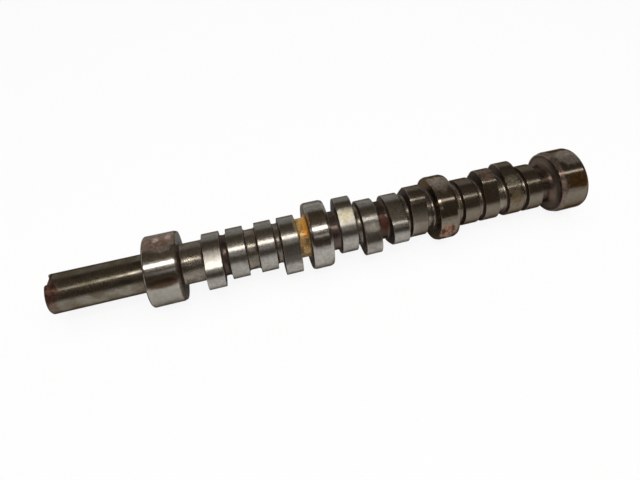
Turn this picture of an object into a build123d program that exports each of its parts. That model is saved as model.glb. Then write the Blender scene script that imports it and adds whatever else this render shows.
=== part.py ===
"""Camshaft of a pushrod V6 engine, as one solid.

The real thing is one chilled-iron casting, turned and then ground between
centres: a plain round nose that carries the drive gear, four journals of one
diameter, and three bays of four lobes, one bay for each pair of cylinders.

The shaft lies along X with its nose towards -X. The origin is on the axis at
the middle of the front journal. Angles are about +X, from +Y towards +Z.
"""
from build123d import *
import math
import os

# Nose, in front of the front journal
NOSE_R = 14.15
NOSE_LENGTH = 66.7
NOSE_CHAMFER = 1.0
NOTCH_WIDTH = 12.0           # locating notch across the nose's rim
NOTCH_DEPTH = 4.0            # along the shaft
NOTCH_FLOOR_R = 9.5          # the notch is open outside this radius
NOTCH_ANGLE = 73.0
BOLT_HOLE_R = 5.1            # tapping size of an M12 thread
BOLT_HOLE_DEPTH = 32.0
BOLT_POINT_LENGTH = 3.0      # cone that the drill leaves at the bottom

# Journals: one radius, the two at the ends wider than the two between them
JOURNAL_R = 26.05
END_WIDTH = 24.2
MIDDLE_WIDTH = 15.8
FRONT_CHAMFER = 1.2          # 45 degree break on the front journal's front rim
LEAD_LENGTH = 2.2            # lead-in taper on the other rims
LEAD_DROP = 0.8
LONG_LEAD_LENGTH = 4.2       # longer taper on the rear journal's front rim
LONG_LEAD_DROP = 1.2

# Bays: where they lie along the shaft
BAY_PITCH = 102.3
FIRST_BAY_X = 63.8
BAYS = 3
REAR_FACE_X = 341.3

# Lobes
BASE_R = 19.05
LIFT = 6.2
TIP_R = 13.5                 # radius of the arc round the lobe's tip
HALF_ACTION = 65.0           # from the tip's centre line to where the base circle starts
LOBE_WIDTH = 12.8
INNER_OFFSET = 10.8          # lobe centres, from the middle of the bay
OUTER_OFFSET = 28.6
LOBE_CHAMFER = 0.4

# Timing of the lobes
FIRST_EXHAUST = 176.5        # tip of the first bay's front exhaust lobe
BAY_STEP = -120.0            # from one bay to the next
BANK_STEP = 30.0             # from one bank's cylinder to the other's, in one bay
LOBE_SEPARATION = 110.0      # from a cylinder's exhaust lobe to its intake lobe

# As-cast neck that joins them all
NECK_R = 15.25
NECK_CORNER = 1.8            # the neck's small flare against the journals
HUB_FLARE_R = 5.0            # larger flare into the rear journal
HUB_BANDS = 3                # conical bands that make up that flare

# Centre holes that the shaft is turned and ground between
CENTRE_MOUTH_R = 7.0
REAR_CENTRE_MOUTH_R = 5.0
REAR_PILOT_R = 2.5
REAR_PILOT_DEPTH = 12.0
CENTRE_SLOPE = math.tan(math.radians(60))    # a 60 degree centre: length over radius

FRONT_FACE_X = -END_WIDTH / 2
NOSE_END_X = FRONT_FACE_X - NOSE_LENGTH


def turned(points):
    """A solid of revolution about X, from its (x, radius) outline."""
    outline = Polyline(*points, close=True)
    return revolve(make_face(outline), Axis.X, 360)


def journal(start_x, width, front_lead, rear_lead):
    """A ground disc. Each lead is the length and the drop of the taper at one rim."""
    end_x = start_x + width
    front_length, front_drop = front_lead
    rear_length, rear_drop = rear_lead
    return turned([
        (start_x, 0),
        (start_x, JOURNAL_R - front_drop),
        (start_x + front_length, JOURNAL_R),
        (end_x - rear_length, JOURNAL_R),
        (end_x, JOURNAL_R - rear_drop),
        (end_x, 0),
    ])


def lobe_outline():
    """A three-arc cam with its tip along +X: base circle, two flanks and tip, all tangent."""
    half = math.radians(HALF_ACTION)
    tip_centre = BASE_R + LIFT - TIP_R
    flank_r = (BASE_R**2 - TIP_R**2 + tip_centre**2 - 2 * BASE_R * tip_centre * math.cos(half)) / (
        2 * (BASE_R - TIP_R - tip_centre * math.cos(half)))
    flank_x = -(flank_r - BASE_R) * math.cos(half)
    flank_y = -(flank_r - BASE_R) * math.sin(half)
    turn = math.atan2(-flank_y, tip_centre - flank_x)      # where tip arc meets flank
    middle = (turn + half) / 2

    def on_flank(angle, side):
        x = flank_x + flank_r * math.cos(angle)
        y = flank_y + flank_r * math.sin(angle)
        return (x, side * y)

    tip = ThreePointArc(on_flank(turn, -1), (BASE_R + LIFT, 0), on_flank(turn, 1))
    upper = ThreePointArc(on_flank(turn, 1), on_flank(middle, 1), on_flank(half, 1))
    base = ThreePointArc(on_flank(half, 1), (-BASE_R, 0), on_flank(half, -1))
    lower = ThreePointArc(on_flank(half, -1), on_flank(middle, -1), on_flank(turn, -1))
    return make_face(tip + upper + base + lower)


def lobe(centre_x, tip_angle):
    """One lobe, its ground face LOBE_WIDTH wide and its edges broken."""
    blank = extrude(lobe_outline(), LOBE_WIDTH / 2, both=True)
    rims = blank.edges().filter_by(Axis.Z, reverse=True)
    blank = chamfer(rims, LOBE_CHAMFER)
    # Stand the outline's plane across the shaft: its X becomes +Y and its Y becomes +Z.
    across = Plane(origin=(centre_x, 0, 0), x_dir=(0, 1, 0), z_dir=(1, 0, 0))
    return across * Rot(Z=tip_angle) * blank


def bay(number):
    """The four lobes of one pair of cylinders: exhausts outside, intakes inside."""
    centre_x = FIRST_BAY_X + number * BAY_PITCH
    front_exhaust = FIRST_EXHAUST + number * BAY_STEP
    rear_exhaust = front_exhaust + BANK_STEP
    front_intake = front_exhaust + LOBE_SEPARATION
    rear_intake = rear_exhaust + LOBE_SEPARATION
    return [
        lobe(centre_x - OUTER_OFFSET, front_exhaust),
        lobe(centre_x - INNER_OFFSET, rear_intake),
        lobe(centre_x + INNER_OFFSET, front_intake),
        lobe(centre_x + OUTER_OFFSET, rear_exhaust),
    ]


def nose():
    """The plain stub in front of the front journal."""
    return turned([
        (NOSE_END_X, 0),
        (NOSE_END_X, NOSE_R - NOSE_CHAMFER),
        (NOSE_END_X + NOSE_CHAMFER, NOSE_R),
        (FRONT_FACE_X + 1, NOSE_R),
        (FRONT_FACE_X + 1, 0),
    ])


def nose_notch():
    """The cutter that leaves the locating notch in the nose's rim."""
    block = Box(2 * NOTCH_DEPTH, NOSE_R, NOTCH_WIDTH)
    placed = Pos(NOSE_END_X, NOTCH_FLOOR_R + NOSE_R / 2, 0) * block
    return Rot(X=NOTCH_ANGLE) * placed


def bolt_hole():
    """The tapped hole in the nose, with the centre's cone at its mouth."""
    bottom_x = NOSE_END_X + BOLT_HOLE_DEPTH
    cone = (CENTRE_MOUTH_R - BOLT_HOLE_R) * CENTRE_SLOPE
    return turned([
        (NOSE_END_X, 0),
        (NOSE_END_X, CENTRE_MOUTH_R),
        (NOSE_END_X + cone, BOLT_HOLE_R),
        (bottom_x, BOLT_HOLE_R),
        (bottom_x + BOLT_POINT_LENGTH, 0),
    ])


def rear_centre():
    """The centre hole in the rear face."""
    cone = (REAR_CENTRE_MOUTH_R - REAR_PILOT_R) * CENTRE_SLOPE
    return turned([
        (REAR_FACE_X, 0),
        (REAR_FACE_X, REAR_CENTRE_MOUTH_R),
        (REAR_FACE_X - cone, REAR_PILOT_R),
        (REAR_FACE_X - REAR_PILOT_DEPTH, REAR_PILOT_R),
        (REAR_FACE_X - REAR_PILOT_DEPTH, 0),
    ])


def neck():
    """The cast core that runs from the front journal to the rear one."""
    return turned([(0, 0), (0, NECK_R), (REAR_FACE_X - 1, NECK_R), (REAR_FACE_X - 1, 0)])


def rear_hub(face_x):
    """The neck's flare into the rear journal: conical bands along a quarter circle."""
    flare = []
    for band in range(HUB_BANDS + 1):
        turn = math.pi / 2 * band / HUB_BANDS
        x = face_x - HUB_FLARE_R * (1 - math.sin(turn))
        flare.append((x, NECK_R + HUB_FLARE_R * (1 - math.cos(turn))))
    return turned([
        (face_x - HUB_FLARE_R, 0),
        *flare,
        (face_x + 1, NECK_R + HUB_FLARE_R),
        (face_x + 1, 0),
    ])


def neck_corners(shaft, face_x):
    """The edge where the neck meets the journal face at face_x."""
    def is_corner(edge):
        return abs(edge.radius - NECK_R) < 0.01 and abs(edge.arc_center.X - face_x) < 0.01

    return [edge for edge in shaft.edges().filter_by(GeomType.CIRCLE) if is_corner(edge)]


def camshaft():
    """The whole shaft, with its machined holes and notch."""
    front_break = (FRONT_CHAMFER, FRONT_CHAMFER)
    lead = (LEAD_LENGTH, LEAD_DROP)
    long_lead = (LONG_LEAD_LENGTH, LONG_LEAD_DROP)
    rear_start_x = REAR_FACE_X - END_WIDTH
    pieces = [
        nose(),
        journal(FRONT_FACE_X, END_WIDTH, front_break, lead),
        rear_hub(rear_start_x),
        journal(rear_start_x, END_WIDTH, long_lead, lead),
    ]
    flared = [FRONT_FACE_X + END_WIDTH]          # journal faces with the small flare
    for number in range(BAYS):
        pieces.extend(bay(number))
    for number in range(BAYS - 1):
        start_x = FIRST_BAY_X + (number + 0.5) * BAY_PITCH - MIDDLE_WIDTH / 2
        pieces.append(journal(start_x, MIDDLE_WIDTH, lead, lead))
        flared.extend([start_x, start_x + MIDDLE_WIDTH])
    shaft = neck().fuse(*pieces)
    for face_x in flared:
        shaft = chamfer(neck_corners(shaft, face_x), NECK_CORNER)
    return shaft - nose_notch() - bolt_hole() - rear_centre()


os.makedirs("parts", exist_ok=True)
part = camshaft()
export_step(part, "parts/camshaft.step")
print("camshaft", round(part.volume / 1000, 1), "cm3", part.bounding_box())
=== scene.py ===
# %% [markdown]
# # A worn camshaft from a pushrod V6
#
# The real thing is one iron casting, turned and ground between centres: a round
# nose, four journals and three bays of four lobes. It comes from the packed
# CAD part, which fixes its size and its place. This script gives it the skin
# that years in an engine left, and lays it on a plain table under soft light.
#
# We start by loading the CAD part. Its box is noted now, before anything is
# added: it gives the shaft's ends, its radius and the height of the table.

# %% Load the measured shaft
import math

import bmesh
import bpy
import numpy as np
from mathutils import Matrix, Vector, noise


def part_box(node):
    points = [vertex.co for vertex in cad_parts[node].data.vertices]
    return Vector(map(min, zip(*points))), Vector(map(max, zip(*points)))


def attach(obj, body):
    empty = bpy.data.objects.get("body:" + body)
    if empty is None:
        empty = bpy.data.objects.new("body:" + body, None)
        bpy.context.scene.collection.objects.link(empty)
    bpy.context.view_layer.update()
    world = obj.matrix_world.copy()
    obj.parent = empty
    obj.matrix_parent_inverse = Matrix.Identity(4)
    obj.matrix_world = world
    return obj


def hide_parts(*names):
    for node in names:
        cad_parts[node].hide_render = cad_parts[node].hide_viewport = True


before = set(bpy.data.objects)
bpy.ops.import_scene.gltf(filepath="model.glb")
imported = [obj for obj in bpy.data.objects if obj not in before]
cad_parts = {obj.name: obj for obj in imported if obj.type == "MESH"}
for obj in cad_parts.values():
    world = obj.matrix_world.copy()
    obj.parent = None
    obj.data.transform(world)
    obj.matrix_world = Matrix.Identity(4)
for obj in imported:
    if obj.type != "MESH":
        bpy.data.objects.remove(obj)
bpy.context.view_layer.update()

MM = 0.001
low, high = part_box("camshaft")
print("camshaft", [round(side / MM, 1) for side in high - low], "mm")

# %% [markdown]
# ## Where the camera stands
#
# The camera looks down on the shaft from in front of its nose half, close
# enough for the far end to shrink. No roll is needed, so three turns become
# two: a tilt up from straight down, and a heading about the vertical. The
# lens shift slides the picture on the sensor and keeps the perspective.

# %% Camera
CAMERA_PLACE = Vector((63.1, -239.7, 321.1)) * MM
CAMERA_TILT = math.radians(46.98)
CAMERA_HEADING = math.radians(-15.82)
LENS = 28.546                # for the usual 36 mm wide sensor
SHIFT = (-0.0259, -0.1442)   # in widths of the picture

camera_data = bpy.data.cameras.new("camera")
camera_data.lens = LENS
camera_data.shift_x, camera_data.shift_y = SHIFT
camera_data.clip_start = 0.01
camera = bpy.data.objects.new("camera", camera_data)
camera.location = CAMERA_PLACE
camera.rotation_euler = (CAMERA_TILT, 0, CAMERA_HEADING)
bpy.context.scene.collection.objects.link(camera)
bpy.context.scene.camera = camera
bpy.context.scene.view_settings.view_transform = "Standard"
print("camera", [round(value, 3) for value in camera.location])

# %% [markdown]
# ## One curved surface, built in rings
#
# Nearly everything on a camshaft is round about one axis, or is a cam outline
# across it. So the surface can be a stack of rings with the same number of
# points, joined strip by strip, the way a lathe and a cam grinder would leave
# it. A ring is an X position and one outline across it. That gives us even
# faces, true edges, and one skin with no seams, which a pile of separate
# cylinders would not.
#
# A profile is a list of corners `(x, height, softness)`. Real edges are never
# perfectly sharp, so `soften` swaps each corner for a short curve. A guard
# point just past each end of the curve keeps the smooth shading inside it, so
# that the flat faces on either side stay flat.

# %% Profiles and rings
RING_POINTS = 144
CURVE_STEPS = 3
REACH = 1.35                 # how far from its corner a curve's guard point is, in softnesses
GUARD = 1.0                  # millimetres from a ground edge to its guard ring on the face
AXIS_R = 0.05                # radius of a ring that closes on the axis
angles = np.arange(RING_POINTS) * math.tau / RING_POINTS
outward = np.column_stack([np.cos(angles), np.sin(angles)])    # from +Y towards +Z


def soften(corners):
    """The profile's points, each corner swapped for a curve that starts its softness away."""
    points = []
    for index, (x, height, softness) in enumerate(corners):
        if not softness:
            points.append((x, height))
            continue
        here = Vector((x, height))
        before = Vector(corners[index - 1][:2])
        after = Vector(corners[index + 1][:2])
        start = (before - here).normalized() * softness
        end = (after - here).normalized() * softness
        points.append(tuple(here + start * REACH))
        for step in range(CURVE_STEPS + 1):
            share = step / CURVE_STEPS
            points.append(tuple(here + start * (1 - share)**2 + end * share**2))
        points.append(tuple(here + end * REACH))
    return points


def turned(radius):
    """A round ring."""
    return radius * outward


class Skin:
    """The rings laid so far, in millimetres, and the finish of the strip before each."""

    def __init__(self):
        self.places = []
        self.outlines = []
        self.finishes = []

    def add(self, corners, finish, form=turned):
        """Lays a ring at each point of the softened profile."""
        for x, height in soften(corners):
            self.lay(x, form(height), finish)

    def lay(self, x, outline, finish):
        """Lays one ring."""
        self.places.append(x)
        self.outlines.append(outline)
        self.finishes.append(finish)


skin = Skin()
print("rings of", RING_POINTS, "points")

# %% [markdown]
# ## The three-arc cam
#
# A flat or roller lifter rides on the cam, so the outline has to be smooth: a
# base circle, a tip arc and, on each side, one large flank arc tangent to
# both. We could draw it point by point, but the three circles give every
# radius by formula. `rise` grows or shrinks all three arcs together, which
# keeps them tangent. That is how the softened edge of a lobe gets its rings.

# %% Lobe outline
BASE_R = 19.05
LIFT = 6.2
TIP_R = 13.5
HALF_ACTION = math.radians(65)     # from the tip's centre line to the base circle

tip_centre = BASE_R + LIFT - TIP_R
flank_r = (BASE_R**2 - TIP_R**2 + tip_centre**2 - 2 * BASE_R * tip_centre * math.cos(HALF_ACTION)) / (
    2 * (BASE_R - TIP_R - tip_centre * math.cos(HALF_ACTION)))
flank_x = -(flank_r - BASE_R) * math.cos(HALF_ACTION)
flank_y = -(flank_r - BASE_R) * math.sin(HALF_ACTION)
tip_end = math.atan2(-flank_y, tip_centre - flank_x)    # normal where the tip meets the flank


def ray_length(towards, centre_x, centre_y, radius):
    """How far a ray from the axis goes before it leaves a circle."""
    along = centre_x * np.cos(towards) + centre_y * np.sin(towards)
    return along + np.sqrt(radius**2 - centre_x**2 - centre_y**2 + along**2)


def cam(tip_angle, rise):
    """A ring of the cam's outline, grown by rise, with its tip at an angle."""
    off_tip = np.abs((angles - tip_angle + math.pi) % math.tau - math.pi)
    join_x = flank_x + (flank_r + rise) * math.cos(tip_end)
    join_y = flank_y + (flank_r + rise) * math.sin(tip_end)
    on_tip = ray_length(off_tip, tip_centre, 0, TIP_R + rise)
    on_flank = ray_length(off_tip, flank_x, flank_y, flank_r + rise)
    radii = np.where(off_tip < HALF_ACTION, on_flank, BASE_R + rise)
    radii = np.where(off_tip < math.atan2(join_y, join_x), on_tip, radii)
    return radii[:, None] * outward


print("flank arcs of", round(flank_r, 1), "mm")

# %% [markdown]
# ## The nose and its tapped hole
#
# The timing gear slides onto the nose and one bolt holds it, so the end has an
# M12 thread with a centre's cone at its mouth. The thread is a real helix: the
# radius of each ring swings between core and root, and it is turned a little
# further at each ring. The rings run from the bottom of the hole out to the
# mouth, over the end face and along the outside.

# %% Nose
NOSE_R = 14.15
NOSE_EDGE = 1.0
NOSE_EDGE_SOFT = 0.4
CENTRE_MOUTH_R = 7.0
THREAD_CORE_R = 5.1
THREAD_ROOT_R = 5.9
THREAD_PITCH = 1.75
THREAD_STEPS = 4             # rings to one pitch
HOLE_DEPTH = 32.0
DRILL_POINT = 3.0
CENTRE_SLOPE = math.tan(math.radians(60))

nose_x = low.x / MM
rear_x = high.x / MM
hole_end_x = nose_x + HOLE_DEPTH
mouth_depth = (CENTRE_MOUTH_R - THREAD_CORE_R) * CENTRE_SLOPE
thread_start_x = nose_x + mouth_depth
thread_rings = int((HOLE_DEPTH - mouth_depth - THREAD_PITCH) / THREAD_PITCH * THREAD_STEPS)


def thread(x):
    """A ring of the thread at this place: a triangle wave that turns with x."""
    phase = (x / THREAD_PITCH - angles / math.tau) % 1
    radii = THREAD_CORE_R + (THREAD_ROOT_R - THREAD_CORE_R) * (1 - np.abs(2 * phase - 1))
    return radii[:, None] * outward


skin.add([(hole_end_x + DRILL_POINT, AXIS_R, 0), (hole_end_x, THREAD_CORE_R, 0)], "bore")
for ring in range(thread_rings, -1, -1):
    x = thread_start_x + ring * THREAD_PITCH / THREAD_STEPS
    skin.lay(x, thread(x), "bore")
print("hole", len(skin.places), "rings")

# %% [markdown]
# ## The notch in the nose
#
# A locating notch with straight walls crosses the nose's rim. A Boolean with a
# block could cut it, but that is slow on a fine mesh and leaves long slivers.
# Here the rings at the end simply have another outline. The points nearest the
# notch lie along its flat floor, the next one on each side is at the top of a
# wall, and those beyond are spread out to close the gap. Two rings at the same
# place, one notched and one round, make the notch's end wall.

# %% Nose end
HALF_NOTCH = 6.0
NOTCH_DEPTH = 4.0
NOTCH_FLOOR_R = 9.5
NOTCH_ANGLE = math.radians(73)
SPREAD = math.radians(80)          # points further from the notch than this stay in place
FACE_R = 8.7                       # a round ring on the end face, inside the notch
FACE_TURN = math.radians(50)       # where that ring has its points for the walls
EVEN_AGAIN = 3.0                   # behind the notch, where the points are evenly spread again

notch_axes = np.array([
    [math.cos(NOTCH_ANGLE), math.sin(NOTCH_ANGLE)],
    [-math.sin(NOTCH_ANGLE), math.cos(NOTCH_ANGLE)],
])
from_notch = (angles - NOTCH_ANGLE + math.pi) % math.tau - math.pi
on_floor = np.flatnonzero(np.abs(from_notch) < math.atan2(HALF_NOTCH, NOTCH_FLOOR_R))
wall_points = from_notch[[on_floor[0] - 1, on_floor[-1] + 1]]


def spread(radius, wall_turn):
    """A round ring in the notch's own axes, with its points for the walls at wall_turn."""
    turn = np.interp(
        from_notch, [-math.pi, -SPREAD, *wall_points, SPREAD, math.pi],
        [-math.pi, -SPREAD, -wall_turn, wall_turn, SPREAD, math.pi])
    return radius * np.column_stack([np.cos(turn), np.sin(turn)])


def notched(radius):
    """A ring with the notch cut out of it."""
    ring = spread(radius, math.asin(HALF_NOTCH / radius))
    ring[on_floor, 0] = NOTCH_FLOOR_R
    ring[on_floor, 1] = np.linspace(-HALF_NOTCH, HALF_NOTCH, len(on_floor))
    return ring @ notch_axes


skin.add([(nose_x, CENTRE_MOUTH_R, 0)], "nose")
skin.lay(nose_x, spread(FACE_R, FACE_TURN) @ notch_axes, "nose")
skin.add([
    (nose_x, NOSE_R - NOSE_EDGE, 0),
    (nose_x + NOSE_EDGE, NOSE_R, NOSE_EDGE_SOFT),
    (nose_x + NOTCH_DEPTH, NOSE_R, 0),
], "nose", notched)
uncut = spread(NOSE_R, math.asin(HALF_NOTCH / NOSE_R)) @ notch_axes
skin.lay(nose_x + NOTCH_DEPTH, uncut, "nose")
skin.add([(nose_x + NOTCH_DEPTH + EVEN_AGAIN, NOSE_R, 0)], "nose")
print("nose", len(skin.places), "rings, notch floor", len(on_floor), "points")

# %% [markdown]
# ## Journals, necks and lobes
#
# Behind the nose the profile runs in one line to the rear face. Each journal
# is a disc with turned faces and a lead-in taper at its rims. Each lobe stands
# on the neck with a small root fillet, and only its rim is ground. The neck
# and the lobes' sides keep the skin of the mould, so the neck gets a ring about
# every millimetre, which a later cell will roughen.

# %% Sizes of journals, necks and lobes
JOURNAL_R = high.z / MM
FRONT_WIDTH = 24.2
MIDDLE_WIDTH = 15.8
REAR_WIDTH = 24.2
RIM_EDGE = 0.3
LEAD = (2.2, 0.8)            # length and drop of the taper at a journal's rim
FRONT_LEAD = (1.2, 1.2)
REAR_LEAD = (4.2, 1.2)
NECK_R = 15.25
NECK_FLARE = 1.8
REAR_FILLET = 5.0
ROOT = 1.8                   # fillet where a lobe stands on the neck
LOBE_WIDTH = 12.8
LOBE_EDGE = 0.45
NECK_STEP = 1.1              # between the rings of the cast neck
print("journals", round(2 * JOURNAL_R, 1), "mm across")


# %% How each one is laid
def add_neck(end_x):
    """Cast neck from the last ring to end_x."""
    start_x = skin.places[-1]
    steps = max(1, round((end_x - start_x) / NECK_STEP))
    for step in range(1, steps + 1):
        skin.add([(start_x + (end_x - start_x) * step / steps, NECK_R, 0)], "cast")


def add_journal(start_x, width, front_lead, rear_lead):
    """The ground disc, from its front face to the rim of its rear face."""
    end_x = start_x + width
    front_r = JOURNAL_R - front_lead[1]
    rear_r = JOURNAL_R - rear_lead[1]
    skin.add([(start_x, front_r - GUARD, 0)], "face")
    skin.add([
        (start_x, front_r - GUARD, 0),
        (start_x, front_r, RIM_EDGE),
        (start_x + front_lead[0], JOURNAL_R, RIM_EDGE),
        (end_x - rear_lead[0], JOURNAL_R, RIM_EDGE),
        (end_x, rear_r, RIM_EDGE),
        (end_x, rear_r - GUARD, 0),
    ], "journal")


def add_lobe(centre_x, tip_degrees):
    """Root fillet, side, ground rim, side and root fillet of one lobe."""
    start_x = centre_x - LOBE_WIDTH / 2
    end_x = centre_x + LOBE_WIDTH / 2
    root = ROOT * REACH
    add_neck(start_x - root)
    skin.add([
        (start_x - root, NECK_R, 0),
        (start_x, NECK_R, ROOT),
        (start_x, NECK_R + root, 0),
    ], "cast")

    def outline(rise):
        return cam(math.radians(tip_degrees), rise)

    skin.add([(start_x, -GUARD, 0)], "cast", outline)
    skin.add([
        (start_x, -GUARD, 0),
        (start_x, 0, LOBE_EDGE),
        (end_x, 0, LOBE_EDGE),
        (end_x, -GUARD, 0),
    ], "lobe", outline)
    skin.add([
        (end_x, NECK_R + root, 0),
        (end_x, NECK_R, ROOT),
        (end_x + root, NECK_R, 0),
    ], "cast")


print("lobe roots reach", round(ROOT * REACH, 2), "mm along the neck")

# %% [markdown]
# ## Where the lobes point
#
# Each bay serves two cylinders, one in each bank, with the exhaust lobes
# outside and the intake lobes inside. The angles are the engine's timing: from
# bay to bay a third of a turn, and from one bank's cylinder to the other's a
# smaller step, because the lifters of the two banks stand at a right angle.
# Four numbers give all twelve lobes, so nothing has to be placed by hand.

# %% Timing
BAYS = 3
FIRST_BAY_X = 63.8
BAY_PITCH = 102.3
INNER_OFFSET = 10.8
OUTER_OFFSET = 28.6
FIRST_EXHAUST = 176.5        # degrees
BAY_STEP = -120.0
BANK_STEP = 30.0
LOBE_SEPARATION = 110.0      # from a cylinder's exhaust lobe to its intake lobe


def lobe_places():
    """Centre and tip angle of every lobe, front to rear, bay by bay."""
    for number in range(BAYS):
        centre_x = FIRST_BAY_X + number * BAY_PITCH
        front_exhaust = FIRST_EXHAUST + number * BAY_STEP
        rear_exhaust = front_exhaust + BANK_STEP
        yield [
            (centre_x - OUTER_OFFSET, front_exhaust),
            (centre_x - INNER_OFFSET, rear_exhaust + LOBE_SEPARATION),
            (centre_x + INNER_OFFSET, front_exhaust + LOBE_SEPARATION),
            (centre_x + OUTER_OFFSET, rear_exhaust),
        ]


print("lobes", [round(tip % 360) for bay in lobe_places() for _, tip in bay])

# %% [markdown]
# ## From the nose to the rear journal
#
# The same three helpers now lay the whole shaft in one pass. Only the rear
# journal differs: its front rim tapers further, and the neck swells into it
# with a larger fillet.

# %% Lay the shaft
NOSE_ROOT = 0.9              # fillet between the nose and the front journal's face
NOSE_ROOT_SIDE = 2.0         # from that corner to the plain ring on each side
front_x = -FRONT_WIDTH / 2
skin.add([
    (front_x - NOSE_ROOT_SIDE, NOSE_R, 0),
    (front_x, NOSE_R, NOSE_ROOT),
    (front_x, NOSE_R + NOSE_ROOT_SIDE, 0),
], "nose")
add_journal(front_x, FRONT_WIDTH, FRONT_LEAD, LEAD)
for number, bay in enumerate(lobe_places()):
    face_x = skin.places[-1]
    outer = NECK_FLARE * REACH
    skin.add([(face_x, NECK_R + outer, 0)], "face")
    skin.add([
        (face_x, NECK_R + outer, 0),
        (face_x, NECK_R, NECK_FLARE),
        (face_x + outer, NECK_R, 0),
    ], "cast")
    for centre_x, tip_degrees in bay:
        add_lobe(centre_x, tip_degrees)
    if number < BAYS - 1:
        journal_x = FIRST_BAY_X + (number + 0.5) * BAY_PITCH - MIDDLE_WIDTH / 2
        width, lead, flare = MIDDLE_WIDTH, LEAD, NECK_FLARE
    else:
        journal_x = rear_x - REAR_WIDTH
        width, lead, flare = REAR_WIDTH, REAR_LEAD, REAR_FILLET
    outer = flare * REACH
    add_neck(journal_x - outer)
    skin.add([
        (journal_x - outer, NECK_R, 0),
        (journal_x, NECK_R, flare),
        (journal_x, NECK_R + outer, 0),
    ], "cast")
    add_journal(journal_x, width, lead, LEAD)
print("shaft", len(skin.places), "rings")

# %% [markdown]
# ## The rear face
#
# The rear journal ends in a flat face with the centre hole that the shaft was
# turned on. The last ring closes on the axis.

# %% Rear face
REAR_MOUTH_R = 5.0
REAR_PILOT_R = 2.5
REAR_PILOT_DEPTH = 12.0
rear_cone = (REAR_MOUTH_R - REAR_PILOT_R) * CENTRE_SLOPE
skin.add([(rear_x, REAR_MOUTH_R + GUARD, 0)], "face")
skin.add([
    (rear_x, REAR_MOUTH_R + GUARD, 0),
    (rear_x, REAR_MOUTH_R, RIM_EDGE),
    (rear_x - rear_cone, REAR_PILOT_R, 0),
    (rear_x - REAR_PILOT_DEPTH, REAR_PILOT_R, 0),
    (rear_x - REAR_PILOT_DEPTH, AXIS_R, 0),
], "bore")
print("whole skin", len(skin.places), "rings")

# %% [markdown]
# ## From rings to a mesh
#
# Each strip between two rings is a band of four-sided faces. Two rings that lie
# on each other only mark a change of finish, so they get no strip. The faces
# remember their finish by a material number.

# %% Mesh
FINISHES = ["journal", "face", "lobe", "cast", "nose", "bore"]
SAME_PLACE = 1e-3            # millimetres, under which two rings lie on each other
rings = [
    np.column_stack([np.full(RING_POINTS, x), outline])
    for x, outline in zip(skin.places, skin.outlines)
]
points = np.concatenate(rings) * MM
here = np.arange(RING_POINTS)
there = np.roll(here, -1)
faces = []
numbers = []
for ring in range(len(rings) - 1):
    if np.abs(rings[ring] - rings[ring + 1]).max() < SAME_PLACE:
        continue
    first, second = ring * RING_POINTS, (ring + 1) * RING_POINTS
    faces.append(np.stack([first + here, first + there, second + there, second + here], 1))
    numbers.append(np.full(RING_POINTS, FINISHES.index(skin.finishes[ring + 1])))
faces = np.concatenate(faces)
mesh = bpy.data.meshes.new("shaft_skin")
mesh.from_pydata(points.tolist(), [], faces.tolist())
mesh.polygons.foreach_set("material_index", np.concatenate(numbers))

shape = bmesh.new()
shape.from_mesh(mesh)
bmesh.ops.remove_doubles(shape, verts=shape.verts, dist=1e-6)
bmesh.ops.holes_fill(shape, edges=[edge for edge in shape.edges if edge.is_boundary])
bmesh.ops.recalc_face_normals(shape, faces=shape.faces)
shape.to_mesh(mesh)
shape.free()
shaft = bpy.data.objects.new("shaft_skin", mesh)
bpy.context.scene.collection.objects.link(shaft)
print("faces", len(mesh.polygons))

# %% [markdown]
# ## Cast skin and smooth shading
#
# Only the neck and the lobes' sides keep the skin of the mould, so only their
# points are pushed in and out a little, by a noise that depends on the place
# and is the same on every run. Points on the border of a machined face stay
# where they are. Then the faces are shaded smooth, with true edges kept sharp.

# %% Cast skin and normals
CAST_ROUGHNESS = 0.10        # millimetres
CAST_GRAIN = 5.0             # millimetres from bump to bump
SHARP_ANGLE = math.radians(38)

cast_number = FINISHES.index("cast")
machined = [face for face in mesh.polygons if face.material_index != cast_number]
smooth_points = {vertex for face in machined for vertex in face.vertices}
normals = [vertex.normal.copy() for vertex in mesh.vertices]     # all read before any point moves
for vertex, normal in zip(mesh.vertices, normals):
    if vertex.index not in smooth_points:
        vertex.co += normal * noise.noise(vertex.co / (CAST_GRAIN * MM)) * CAST_ROUGHNESS * MM
mesh.shade_smooth()
mesh.set_sharp_from_angle(angle=SHARP_ANGLE)
print("points", len(mesh.vertices))

# %% [markdown]
# ## Shader maths as Python
#
# A material is a graph of nodes. To keep it readable, `Signal` wraps one output
# socket, and Python's operators on it add the Math nodes. Colours and vectors
# go through Mix and Vector Math, because a Math node would turn them grey. Any
# other node comes from `Signal.node`.

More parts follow.
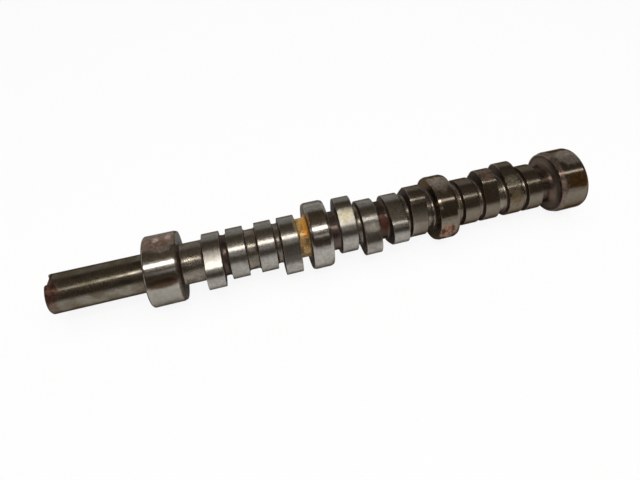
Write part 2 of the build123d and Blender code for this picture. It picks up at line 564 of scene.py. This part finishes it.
# %% A socket that does sums
class Signal:
    """An output socket of a material's node, which Python's operators can work on."""

    def __init__(self, socket):
        self.socket = socket

    @staticmethod
    def node(tree, kind, settings=None, inputs=None, output=0):
        """Adds a node: its settings first, then the values or links of its sockets."""
        made = tree.nodes.new(kind)
        for key, value in (settings or {}).items():
            setattr(made, key, value)
        for key, value in (inputs or {}).items():
            if isinstance(value, Signal):
                tree.links.new(value.socket, made.inputs[key])
            else:
                made.inputs[key].default_value = value
        return Signal(made.outputs[output]) if made.outputs else None

    def near(self, kind, settings=None, inputs=None, output=0):
        """Adds a node to this signal's own material."""
        return Signal.node(self.socket.id_data, kind, settings, inputs, output)

    def sum(self, operation, first, second):
        """A Math node, or Vector Math where this signal is a vector."""
        kind = "ShaderNodeVectorMath" if self.socket.type == "VECTOR" else "ShaderNodeMath"
        return self.near(kind, {"operation": operation}, {0: first, 1: second})

    def __add__(self, other):
        return self.sum("ADD", self, other)

    __radd__ = __add__

    def __sub__(self, other):
        return self.sum("SUBTRACT", self, other)

    def __rsub__(self, other):
        return self.sum("SUBTRACT", other, self)

    def __mul__(self, other):
        return self.sum("MULTIPLY", self, other)

    __rmul__ = __mul__

    def length(self):
        """How long this vector is."""
        return self.near("ShaderNodeVectorMath", {"operation": "LENGTH"}, {0: self}, "Value")

    def part(self, axis):
        """One of this vector's three numbers."""
        return self.near("ShaderNodeSeparateXYZ", None, {0: self}, axis)

    def above(self, start, end):
        """0 where this is under start, 1 where it is past end, and smooth between."""
        return self.near("ShaderNodeMapRange", {"interpolation_type": "SMOOTHSTEP"}, {
            "Value": self, "From Min": start, "From Max": end})

    def mix(self, first, second):
        """Colours: the first where this mask is 0, the second where it is 1."""
        first = first if isinstance(first, Signal) else (*first, 1)
        second = second if isinstance(second, Signal) else (*second, 1)
        return self.near("ShaderNodeMix", {"data_type": "RGBA"}, {0: self, 6: first, 7: second}, 2)


print("Signal is ready")

# %% [markdown]
# ## What every finish reads
#
# All the patterns are placed by the object's own coordinates, in metres, so
# they stay on the metal from any side. `Paint` starts a material and offers
# the patterns that the finishes share: blotches of a given size, the fine lines
# that a wheel or a tool leaves round the shaft, a ragged spot at a given place,
# and a band across the shaft. Angles are in degrees from +Y towards +Z. One
# more helper lays a list of spots over a finish: stains, and in a few places
# painted light and shade.
#
# The edge tint darkens the metal where it is seen at a grazing angle. Clean
# iron would turn white there; the tint keeps it dark, as painted shade along
# every outline of the shaft.

# %% Patterns
# Painted shade: a dark tint for the metal's reflection at grazing angles, darkening every outline.
EDGE_SHADE_TINT = (0.2, 0.18, 0.16)
SPOT_ROUGHNESS = 0.2        # what a spot adds where it takes all the metal away, stain and painted light alike


class Paint:
    """A new material, and the patterns that its finish is made from."""

    def __init__(self, name):
        self.material = bpy.data.materials.new(name)
        self.material.use_nodes = True
        self.tree = self.material.node_tree
        self.tree.nodes.clear()
        self.place = Signal.node(self.tree, "ShaderNodeTexCoord", output="Object")
        self.along = self.place.part("X")
        self.radius = (self.place * (0, 1, 1)).length()

    def blotches(self, size, detail=4, seed=0.0, distortion=0.0):
        """Cloudy noise with patches of about this size in millimetres, 0 to 1."""
        return self.place.near("ShaderNodeTexNoise", {"noise_dimensions": "4D"}, {
            "Vector": self.place, "W": seed, "Scale": 1 / (size * MM), "Detail": detail,
            "Distortion": distortion})

    def lines(self, over, size):
        """Fine lines across the way given: along for a rim, radius for a flat face."""
        step = over * (1 / (size * MM))
        return step.near("ShaderNodeTexNoise", {"noise_dimensions": "1D"}, {
            "W": step, "Scale": 1.0, "Detail": 2})

    def spot(self, x, radius, degrees, size, ragged=0.5):
        """A ragged spot on the surface at x and an angle, as wide as size in millimetres."""
        turn = math.radians(degrees)
        centre = Vector((x, radius * math.cos(turn), radius * math.sin(turn))) * MM
        offset = self.place - tuple(centre)
        far = (offset * tuple(1 / (side * MM) for side in size)).length()
        edge = far + (self.blotches(min(size) * 0.5, seed=x) - 0.5) * (2 * ragged)
        return 1 - edge.above(0.5, 1.0)

    def band(self, start_x, end_x, blur):
        """1 between two places along the shaft, in millimetres, with ends this soft."""
        after = self.along.above((start_x - blur) * MM, (start_x + blur) * MM)
        return after * (1 - self.along.above((end_x - blur) * MM, (end_x + blur) * MM))

    def stains_and_painted_light(self, spots, pattern, colour, metallic, rough):
        """Colour, metal and roughness again, under spots whose two tones the pattern mixes."""
        for place, light, dark, loss in spots:
            mask = self.spot(*place)
            colour = mask.mix(colour, pattern.mix(light, dark))
            metallic = metallic - mask * (metallic * loss)
            rough = rough + mask * (SPOT_ROUGHNESS * loss)
        return colour, metallic, rough

    def finish(self, colour, metallic, roughness, bump, depth):
        """The shader. depth is the bump's height in millimetres."""
        normal = self.place.near("ShaderNodeBump", None, {
            "Strength": 1.0, "Distance": depth * MM, "Height": bump}, "Normal")
        shader = self.place.near("ShaderNodeBsdfPrincipled", None, {
            "Base Color": colour, "Metallic": metallic, "Roughness": roughness,
            "Specular Tint": (*EDGE_SHADE_TINT, 1), "Normal": normal})
        self.place.near("ShaderNodeOutputMaterial", None, {"Surface": shader})
        return self.material


print("patterns ready")

# %% [markdown]
# ## Ground iron
#
# Journals, lobes and nose were ground bright. In the engine, hot oil leaves a
# brown film on them, thickest at the rear, and damp starts rust in a few places.
# Metal hardly shows a colour of its own: it shows what it reflects. So the film
# is a darker, browner metal and not paint, and only rust, baked dirt and a few
# spots of painted light and shade take the metallic share down. `fine` breaks
# every patch up, because a real stain is never one flat colour.

# %% Ground finish
REAR_START, REAR_END = 0.176, 0.196      # metres along the shaft, where it turns duller
FILM_START, FILM_END = 0.72, 1.02        # of its noise, before the film's share is taken off
PIT_COLOUR = (0.09, 0.07, 0.045)
FINE_SHARE, PIT_SHARE = 0.22, 0.35       # how much of that colour the two patterns add
LINE_SPACING = 0.3                       # millimetres
LINE_DEPTH = 0.0004                      # millimetres


def ground(name, bright, dull, film_colour, film_share, roughness, spots=(), flat=False):
    """Ground iron, duller but smoother towards the rear, under patches of oil film."""
    paint = Paint(name)
    lines = paint.lines(paint.radius if flat else paint.along, LINE_SPACING)
    rear = (paint.along + (paint.blotches(12, seed=2) - 0.5) * 0.02).above(REAR_START, REAR_END)
    clouds = paint.blotches(11, seed=4, distortion=0.6)
    film = clouds.above(FILM_START - film_share, FILM_END - film_share)
    fine = paint.blotches(2.2, seed=6).above(0.38, 0.62)
    pits = paint.blotches(0.9, detail=2, seed=9).above(0.60, 0.72)
    colour = film.mix(rear.mix(bright, dull), film_colour)
    colour = (fine * FINE_SHARE + pits * PIT_SHARE).mix(colour, PIT_COLOUR)
    metallic = 1 - film * 0.1 - rear * 0.05
    rough = roughness + film * 0.06 - rear * 0.06 + pits * 0.05 + (lines - 0.5) * 0.04
    colour, metallic, rough = paint.stains_and_painted_light(spots, fine, colour, metallic, rough)
    return paint.finish(colour, metallic, rough, lines, LINE_DEPTH)


print("ground finish ready")

# %% [markdown]
# ## Where the stains and the painted light are
#
# A stain is one line: its place, a light and a dark colour that `fine` mixes,
# and the share of metal that it takes away. A few lines are painted light and
# shade instead: a darker band, a lighter side, or a dark spot over a lamp's
# glint, placed by where the iron mirrors the room and the lamps. The place is
# x, the distance from the axis, the angle, the size in three directions, and
# how ragged the edge is.
# With no distance and a great size across, it is a ring round the shaft, as
# dirt settles along a rim. Painting an image would be the other way, but this
# one needs no unwrapping and can be read and changed line by line.

# %% Stains and painted light on the journals
JOURNAL_SPOTS = [
    ((0.5, 26, 75, (19, 13, 11), 0.5), (0.21, 0.145, 0.115), (0.13, 0.085, 0.065), 0.5),
    ((-2, 26, 72, (3, 4, 3), 1.0), (0.42, 0.33, 0.29), (0.24, 0.17, 0.14), 0.4),
    ((7, 26, 70, (3, 4, 3), 1.0), (0.38, 0.30, 0.26), (0.22, 0.16, 0.13), 0.4),
    # Painted shade: darker metal on the lower front of the front journal, where it mirrors the table.
    ((0, 26, 174, (17, 14, 12), 0.15), (0.32, 0.305, 0.27), (0.28, 0.265, 0.235), 0.0),
    # Painted shade: a darker band along the front journal, just under its highlight.
    ((0, 26, 148, (17, 5, 5), 0.15), (0.12, 0.08, 0.055), (0.09, 0.06, 0.04), 0.1),
    ((107.2, 25, 98, (1.6, 9, 6), 0.7), (0.30, 0.15, 0.05), (0.17, 0.09, 0.03), 0.4),
    ((-12.3, 0, 0, (1.5, 60, 60), 0.1), (0.07, 0.055, 0.045), (0.05, 0.04, 0.03), 0.3),
    ((11.9, 0, 0, (2.4, 60, 60), 0.3), (0.11, 0.083, 0.062), (0.075, 0.054, 0.039), 0.25),
    # Painted shade: dark spots on the front rims of journals 3 and 4, laid over the window lamp's
    # glint.
    ((206, 26, 141, (3.5, 6, 6), 0.7), (0.08, 0.05, 0.04), (0.05, 0.03, 0.022), 0.4),
    ((319.5, 26, 141, (4.5, 6, 6), 0.7), (0.09, 0.06, 0.045), (0.05, 0.03, 0.022), 0.4),
    # Painted reflection: a lighter upper side on journal 3.
    ((216, 26, 82, (11, 12, 8), 0.5), (0.27, 0.235, 0.20), (0.17, 0.14, 0.115), 0.3),
    ((213, 26, 176, (9, 7, 9), 0.8), (0.27, 0.20, 0.15), (0.20, 0.13, 0.09), 0.5),
    ((216, 26, 181, (6, 7, 8), 1.2), (0.36, 0.14, 0.055), (0.06, 0.028, 0.018), 0.8),
    ((211, 26, 178, (2, 4, 5), 1.0), (0.07, 0.03, 0.02), (0.04, 0.015, 0.01), 0.7),
    ((219, 26, 174, (2, 5, 5), 1.0), (0.09, 0.035, 0.02), (0.05, 0.02, 0.012), 0.7),
    ((333, 26, 136, (16, 8, 8), 0.6), (0.14, 0.075, 0.03), (0.09, 0.045, 0.015), 0.2),
    ((318.6, 0, 0, (3.6, 60, 60), 0.15), (0.18, 0.14, 0.115), (0.12, 0.09, 0.072), 0.2),
    # Painted reflection: a lighter upper side on journal 4.
    ((333, 26, 84, (14, 12, 7), 0.5), (0.27, 0.24, 0.21), (0.20, 0.17, 0.14), 0.25),
]
print("journal stains", len(JOURNAL_SPOTS))

# %% Stains on faces, lobes and nose, and painted light on the lobes
FACE_SPOTS = [
    ((12.1, 0, 0, (1, 60, 60), 0.2), (0.09, 0.067, 0.05), (0.06, 0.042, 0.03), 0.5),
    ((205.2, 0, 0, (2.5, 60, 60), 0.2), (0.07, 0.05, 0.04), (0.04, 0.028, 0.022), 0.6),
    ((317.1, 0, 0, (2.5, 60, 60), 0.2), (0.08, 0.052, 0.043), (0.045, 0.029, 0.023), 0.4),
]
LOBE_SPOTS = [
    ((98.6, 19, 92, (2.2, 11, 8), 0.6), (0.33, 0.24, 0.10), (0.22, 0.15, 0.06), 0.4),
    ((137.5, 21, 100, (9, 7, 7), 0.5), (0.37, 0.345, 0.27), (0.30, 0.27, 0.19), 0.2),
    # Painted reflection: a lighter band on lobe 6's front flank, under its highlight.
    ((155.3, 21, 140, (8, 5, 5), 0.5), (0.50, 0.47, 0.40), (0.36, 0.33, 0.27), 0.3),
    ((257.6, 25, 86, (7, 7, 6), 0.8), (0.13, 0.085, 0.06), (0.07, 0.045, 0.035), 0.5),
    # Painted reflection: a lighter olive tone on lobe 11's upper flank.
    ((279.2, 21.5, 106, (7.5, 7, 7), 0.8), (0.22, 0.205, 0.145), (0.14, 0.125, 0.09), 0.25),
    ((279.2, 20, 147, (8, 10, 10), 0.7), (0.16, 0.125, 0.08), (0.13, 0.09, 0.045), 0.4),
]
NOSE_SPOTS = [
    ((-79, 13, 124, (15, 16, 16), 0.6), (0.12, 0.065, 0.05), (0.06, 0.024, 0.016), 0.3),
]
print("other stains", len(FACE_SPOTS) + len(LOBE_SPOTS) + len(NOSE_SPOTS))

# %% Ground finishes
BRIGHT = (0.40, 0.385, 0.36)
DULL = (0.19, 0.165, 0.135)          # at the rear, whatever the finish

journal_iron = ground("journal_iron", BRIGHT, DULL, (0.17, 0.125, 0.09), 0.16, 0.20, JOURNAL_SPOTS)
face_iron = ground(
    "face_iron", (0.30, 0.285, 0.26), DULL, (0.13, 0.10, 0.075), 0.28, 0.30, FACE_SPOTS, flat=True)
lobe_iron = ground(
    "lobe_iron", (0.36, 0.35, 0.33), DULL, (0.17, 0.14, 0.10), 0.16, 0.28, LOBE_SPOTS)
nose_iron = ground(
    "nose_iron", (0.22, 0.205, 0.175), DULL, (0.13, 0.11, 0.08), 0.36, 0.21, NOSE_SPOTS)
print("ground finishes", journal_iron.name, face_iron.name, lobe_iron.name, nose_iron.name)

# %% [markdown]
# ## Cast iron
#
# The necks and the lobes' sides were never machined. They keep the grainy skin
# of the mould: worn to metal on the necks, where hands and rags reach, and dark
# with baked oil on the sides and in the roots. The mask `baked` reads that from
# the distance to the axis, roughened by noise, so that no hard line appears.
# The flare into the rear journal lies as far out as the sides do, but it was
# wiped bright, so the mask is turned down there. Behind the first bay something
# was daubed round the neck, an amber wax or paint mark, which has run and
# gathered at the top.

# %% Cast finish
NECK_TONES = ((0.145, 0.128, 0.108), (0.28, 0.25, 0.21))
SIDE_TONES = ((0.030, 0.017, 0.011), (0.065, 0.040, 0.028))
BAKED_START, BAKED_END = 0.08, 0.4   # millimetres outside the neck, where baked oil sets in
GRAIN_DEPTH = 0.04                   # millimetres
WAX_START, WAX_END = 98.9, 108.0     # millimetres along the shaft
WAX_BLUR = 0.5
WAX_RADIUS, WAX_THINS = 18.5, 1.5    # how far out it climbs the journal's face, and its edge there
WAX_THIN_TONES = ((0.42, 0.28, 0.12), (0.17, 0.10, 0.04))
WAX_THICK_TONES = ((0.60, 0.33, 0.07), (0.55, 0.18, 0.02))
WAX_GATHERED = (105.6, 15, 84, (4.8, 15, 10))
WAX_METAL = 0.35
HUB = (311, 0, 0, (11, 46, 46), 0.2)     # the flare into the rear journal
HUB_WIPED = 0.85                         # share of the baked oil that is gone from it
CAST_SPOTS = [
    # Painted shade: darker necks in the narrow gaps between the first two lobes and between journal 2
    # and lobe 5.
    ((44.1, 0, 0, (5, 32, 32), 0.2), (0.10, 0.072, 0.062), (0.06, 0.043, 0.037), 0.1),
    ((127, 0, 0, (8, 32, 32), 0.2), (0.12, 0.09, 0.08), (0.08, 0.058, 0.05), 0.1),
    ((166, 0, 0, (6.5, 32, 32), 0.3), (0.07, 0.046, 0.036), (0.045, 0.03, 0.024), 0.05),
    ((166, 15, 142, (5, 8, 8), 0.7), (0.09, 0.037, 0.027), (0.05, 0.021, 0.015), 0.5),
    ((228, 15, 130, (4, 8, 8), 0.8), (0.16, 0.12, 0.07), (0.10, 0.07, 0.04), 0.5),
    (HUB, (0.115, 0.082, 0.068), (0.075, 0.052, 0.043), 0.0),
]


def cast(name):
    """The skin of the mould: worn metal on the neck, baked oil on sides and roots."""
    paint = Paint(name)
    grain = paint.blotches(1.0, seed=5)
    patches = paint.blotches(8, seed=8, distortion=0.4).above(0.35, 0.7)
    out = paint.radius + (paint.blotches(2.5, seed=3) - 0.5) * (0.5 * MM)
    baked = out.above((NECK_R + BAKED_START) * MM, (NECK_R + BAKED_END) * MM)
    baked = baked * (1 - paint.spot(*HUB) * HUB_WIPED)
    colour = baked.mix(patches.mix(*NECK_TONES), patches.mix(*SIDE_TONES))
    metallic = 0.85 + patches * 0.1 - baked * 0.55
    rough = 0.27 + baked * 0.28 + (grain - 0.5) * 0.15
    colour, metallic, rough = paint.stains_and_painted_light(CAST_SPOTS, patches, colour, metallic, rough)
    wax = paint.band(WAX_START, WAX_END, WAX_BLUR)
    wax = wax * (1 - paint.radius.above(WAX_RADIUS * MM, (WAX_RADIUS + WAX_THINS) * MM))
    gathered = paint.spot(*WAX_GATHERED)
    streaks = paint.blotches(4.0, seed=12, distortion=1.5).above(0.40, 0.62)
    amber = gathered.mix(streaks.mix(*WAX_THIN_TONES), streaks.mix(*WAX_THICK_TONES))
    colour = wax.mix(colour, amber)
    metallic = metallic - wax * (metallic - WAX_METAL)
    return paint.finish(colour, metallic, rough, grain, GRAIN_DEPTH)


cast_iron = cast("cast_iron")
bore_iron = ground(
    "bore_iron", (0.16, 0.13, 0.10), (0.16, 0.13, 0.10), (0.09, 0.07, 0.05), 0.5, 0.36, flat=True)
print("cast finish", cast_iron.name, "and", bore_iron.name)

# %% [markdown]
# ## Dressing the shaft
#
# The faces already know their finish by its number in `FINISHES`, so the
# materials only have to be added in that order. The skin then takes the place
# of the plain CAD solid and stands with the frame's root, because the shaft
# has no part that moves against another.

# %% Dress the shaft
worn = {
    "journal": journal_iron, "face": face_iron, "lobe": lobe_iron,
    "cast": cast_iron, "nose": nose_iron, "bore": bore_iron}
for finish in FINISHES:
    shaft.data.materials.append(worn[finish])
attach(shaft, "root")
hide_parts("camshaft")
print("finishes", len(shaft.data.materials))

# %% [markdown]
# ## The table
#
# The shaft lies on a plain white table, which catches its soft shadow. The
# table mixes two surfaces. One is plain matt white, which takes the shadow. The
# other glows, and the camera and the polished iron see more of it, so that the
# table looks white without more light on the shaft. Light Path tells those
# rays apart. Far from the shaft, where no shadow falls, the glow is all that
# the camera sees, so that the table runs into the white room without an edge.

# %% Table
FLOOR_SIDE = 24.0            # metres
MIDDLE_X = 0.13              # metres, near the middle of the shaft
SHADOW_END, ALL_GLOW = 0.6, 2.5      # metres from there, between which the glow takes over
NEAR_GLOW = 0.9              # share of the glow that the camera sees near the shaft
GLOSSY_GLOW = 0.15           # and the share that the polished iron sees
floor_mesh = bpy.data.meshes.new("floor")
shape = bmesh.new()
bmesh.ops.create_grid(shape, x_segments=1, y_segments=1, size=FLOOR_SIDE / 2)
shape.to_mesh(floor_mesh)
shape.free()
floor = bpy.data.objects.new("floor", floor_mesh)
floor.location = (MIDDLE_X, 0, low.z)
bpy.context.scene.collection.objects.link(floor)

white = bpy.data.materials.new("white_table")
white.use_nodes = True
tree = white.node_tree
tree.nodes.clear()
rays = Signal.node(tree, "ShaderNodeLightPath", output="Is Camera Ray")
glossy = Signal(rays.socket.node.outputs["Is Glossy Ray"])
through = Signal(rays.socket.node.outputs["Is Transmission Ray"])
table = rays.near("ShaderNodeBsdfDiffuse", None, {"Color": (0.88, 0.88, 0.88, 1)})
glow = rays.near("ShaderNodeEmission", None, {"Color": (1, 1, 1, 1), "Strength": 1.0})
place = Signal.node(tree, "ShaderNodeTexCoord", output="Object")
away = place.length().above(SHADOW_END, ALL_GLOW)
share = rays * (NEAR_GLOW + away * (1 - NEAR_GLOW)) + glossy * GLOSSY_GLOW + through * NEAR_GLOW
mixed = rays.near("ShaderNodeMixShader", None, {0: share, 1: table, 2: glow})
rays.near("ShaderNodeOutputMaterial", None, {"Surface": mixed})
floor_mesh.materials.append(white)
print("table", FLOOR_SIDE, "m wide, in", white.name)

# %% [markdown]
# ## The lamps
#
# Polished metal shows each lamp as a bright strip, so a lamp's shape and place
# matter more than its power. Two long, narrow lamps overhead draw the bright
# line along the journals and lobes, and a fainter one in front the second line.
# Rust and dirt need plain light from all over instead, which comes from one
# large soft box that reflections don't see. Power is worked out from how bright
# the lamp's face is, so a lamp can be resized and its strip stays as bright.

# %% Lamps
def lamp(name, place, aim, size, radiance, colour=(1, 1, 1), in_gloss=True):
    """A flat lamp. Its power follows from how bright its face looks."""
    data = bpy.data.lights.new(name, "AREA")
    data.shape = "RECTANGLE"
    data.size, data.size_y = size
    data.energy = radiance * math.pi * size[0] * size[1]
    data.color = colour
    made = bpy.data.objects.new(name, data)
    made.location = place
    made.rotation_euler = (Vector(aim) - Vector(place)).to_track_quat("-Z", "Y").to_euler()
    made.visible_glossy = in_gloss
    bpy.context.scene.collection.objects.link(made)


def over(x, elevation, distance):
    """A place in front of the shaft, this many degrees above the table."""
    turn = math.radians(elevation)
    return (x, -math.cos(turn) * distance, math.sin(turn) * distance)


WARM = (1.0, 0.96, 0.89)
lamp("strip", over(0.037, 70.2, 1.0), (0.037, 0, 0), (0.57, 0.13), 8.0, WARM)
lamp("long_strip", over(0.33, 70.4, 1.02), (0.33, 0, 0), (1.7, 0.12), 2.9, WARM)
lamp("window", over(0.17, 45, 1.0), (0.17, 0, 0), (0.66, 0.08), 1.0)
lamp("soft_box", (MIDDLE_X, -0.1, 1.6), (MIDDLE_X, 0, 0), (1.8, 1.8), 2.3, in_gloss=False)
print("lamps", len(bpy.data.lights))

# %% [markdown]
# ## The room
#
# A polished shaft is a mirror, so most of what it shows is the room: pale walls
# low down, a dark ceiling, and a paler far side. The dark tone is a warm brown,
# because that is what gives the iron its brown depths between the highlights.
# The camera itself sees plain white past the table's edge.

# %% Room
CEILING_LOW = (0.055, 0.036, 0.020)
CEILING_TOP = (0.11, 0.083, 0.053)
WALL = (1.0, 1.0, 0.98)
WALL_TOP = (0.04, 0.19)      # heights between which the walls end, as sines of the angle
WALL_SHARE = 0.75
FAR_SIDE_SLOPE = 0.6         # how much higher the pale far side goes towards +Y
FAR_SIDE_TOP = (0.0, 0.36)
FAR_SIDE_SHARE = 0.40

world = bpy.data.worlds.new("room")
world.use_nodes = True
bpy.context.scene.world = world
tree = world.node_tree
tree.nodes.clear()
direction = Signal.node(tree, "ShaderNodeTexCoord", output="Generated")
height = direction.part("Z")
far = direction.part("Y")
walls = 1 - height.above(*WALL_TOP)
far_side = 1 - (height - far * FAR_SIDE_SLOPE).above(*FAR_SIDE_TOP)
ceiling = height.above(0.7, 1.0).mix(CEILING_LOW, CEILING_TOP)
room_colour = (walls * WALL_SHARE + far_side * FAR_SIDE_SHARE).mix(ceiling, WALL)
room = direction.near("ShaderNodeBackground", None, {"Color": room_colour, "Strength": 1.0})
plain = direction.near("ShaderNodeBackground", None, {"Color": (1, 1, 1, 1), "Strength": 1.0})
rays = Signal.node(tree, "ShaderNodeLightPath", output="Is Camera Ray")
through = Signal(rays.socket.node.outputs["Is Transmission Ray"])
seen = rays.near("ShaderNodeMixShader", None, {0: rays + through, 1: room, 2: plain})
rays.near("ShaderNodeOutputWorld", None, {"Surface": seen})
print("room", world.name)
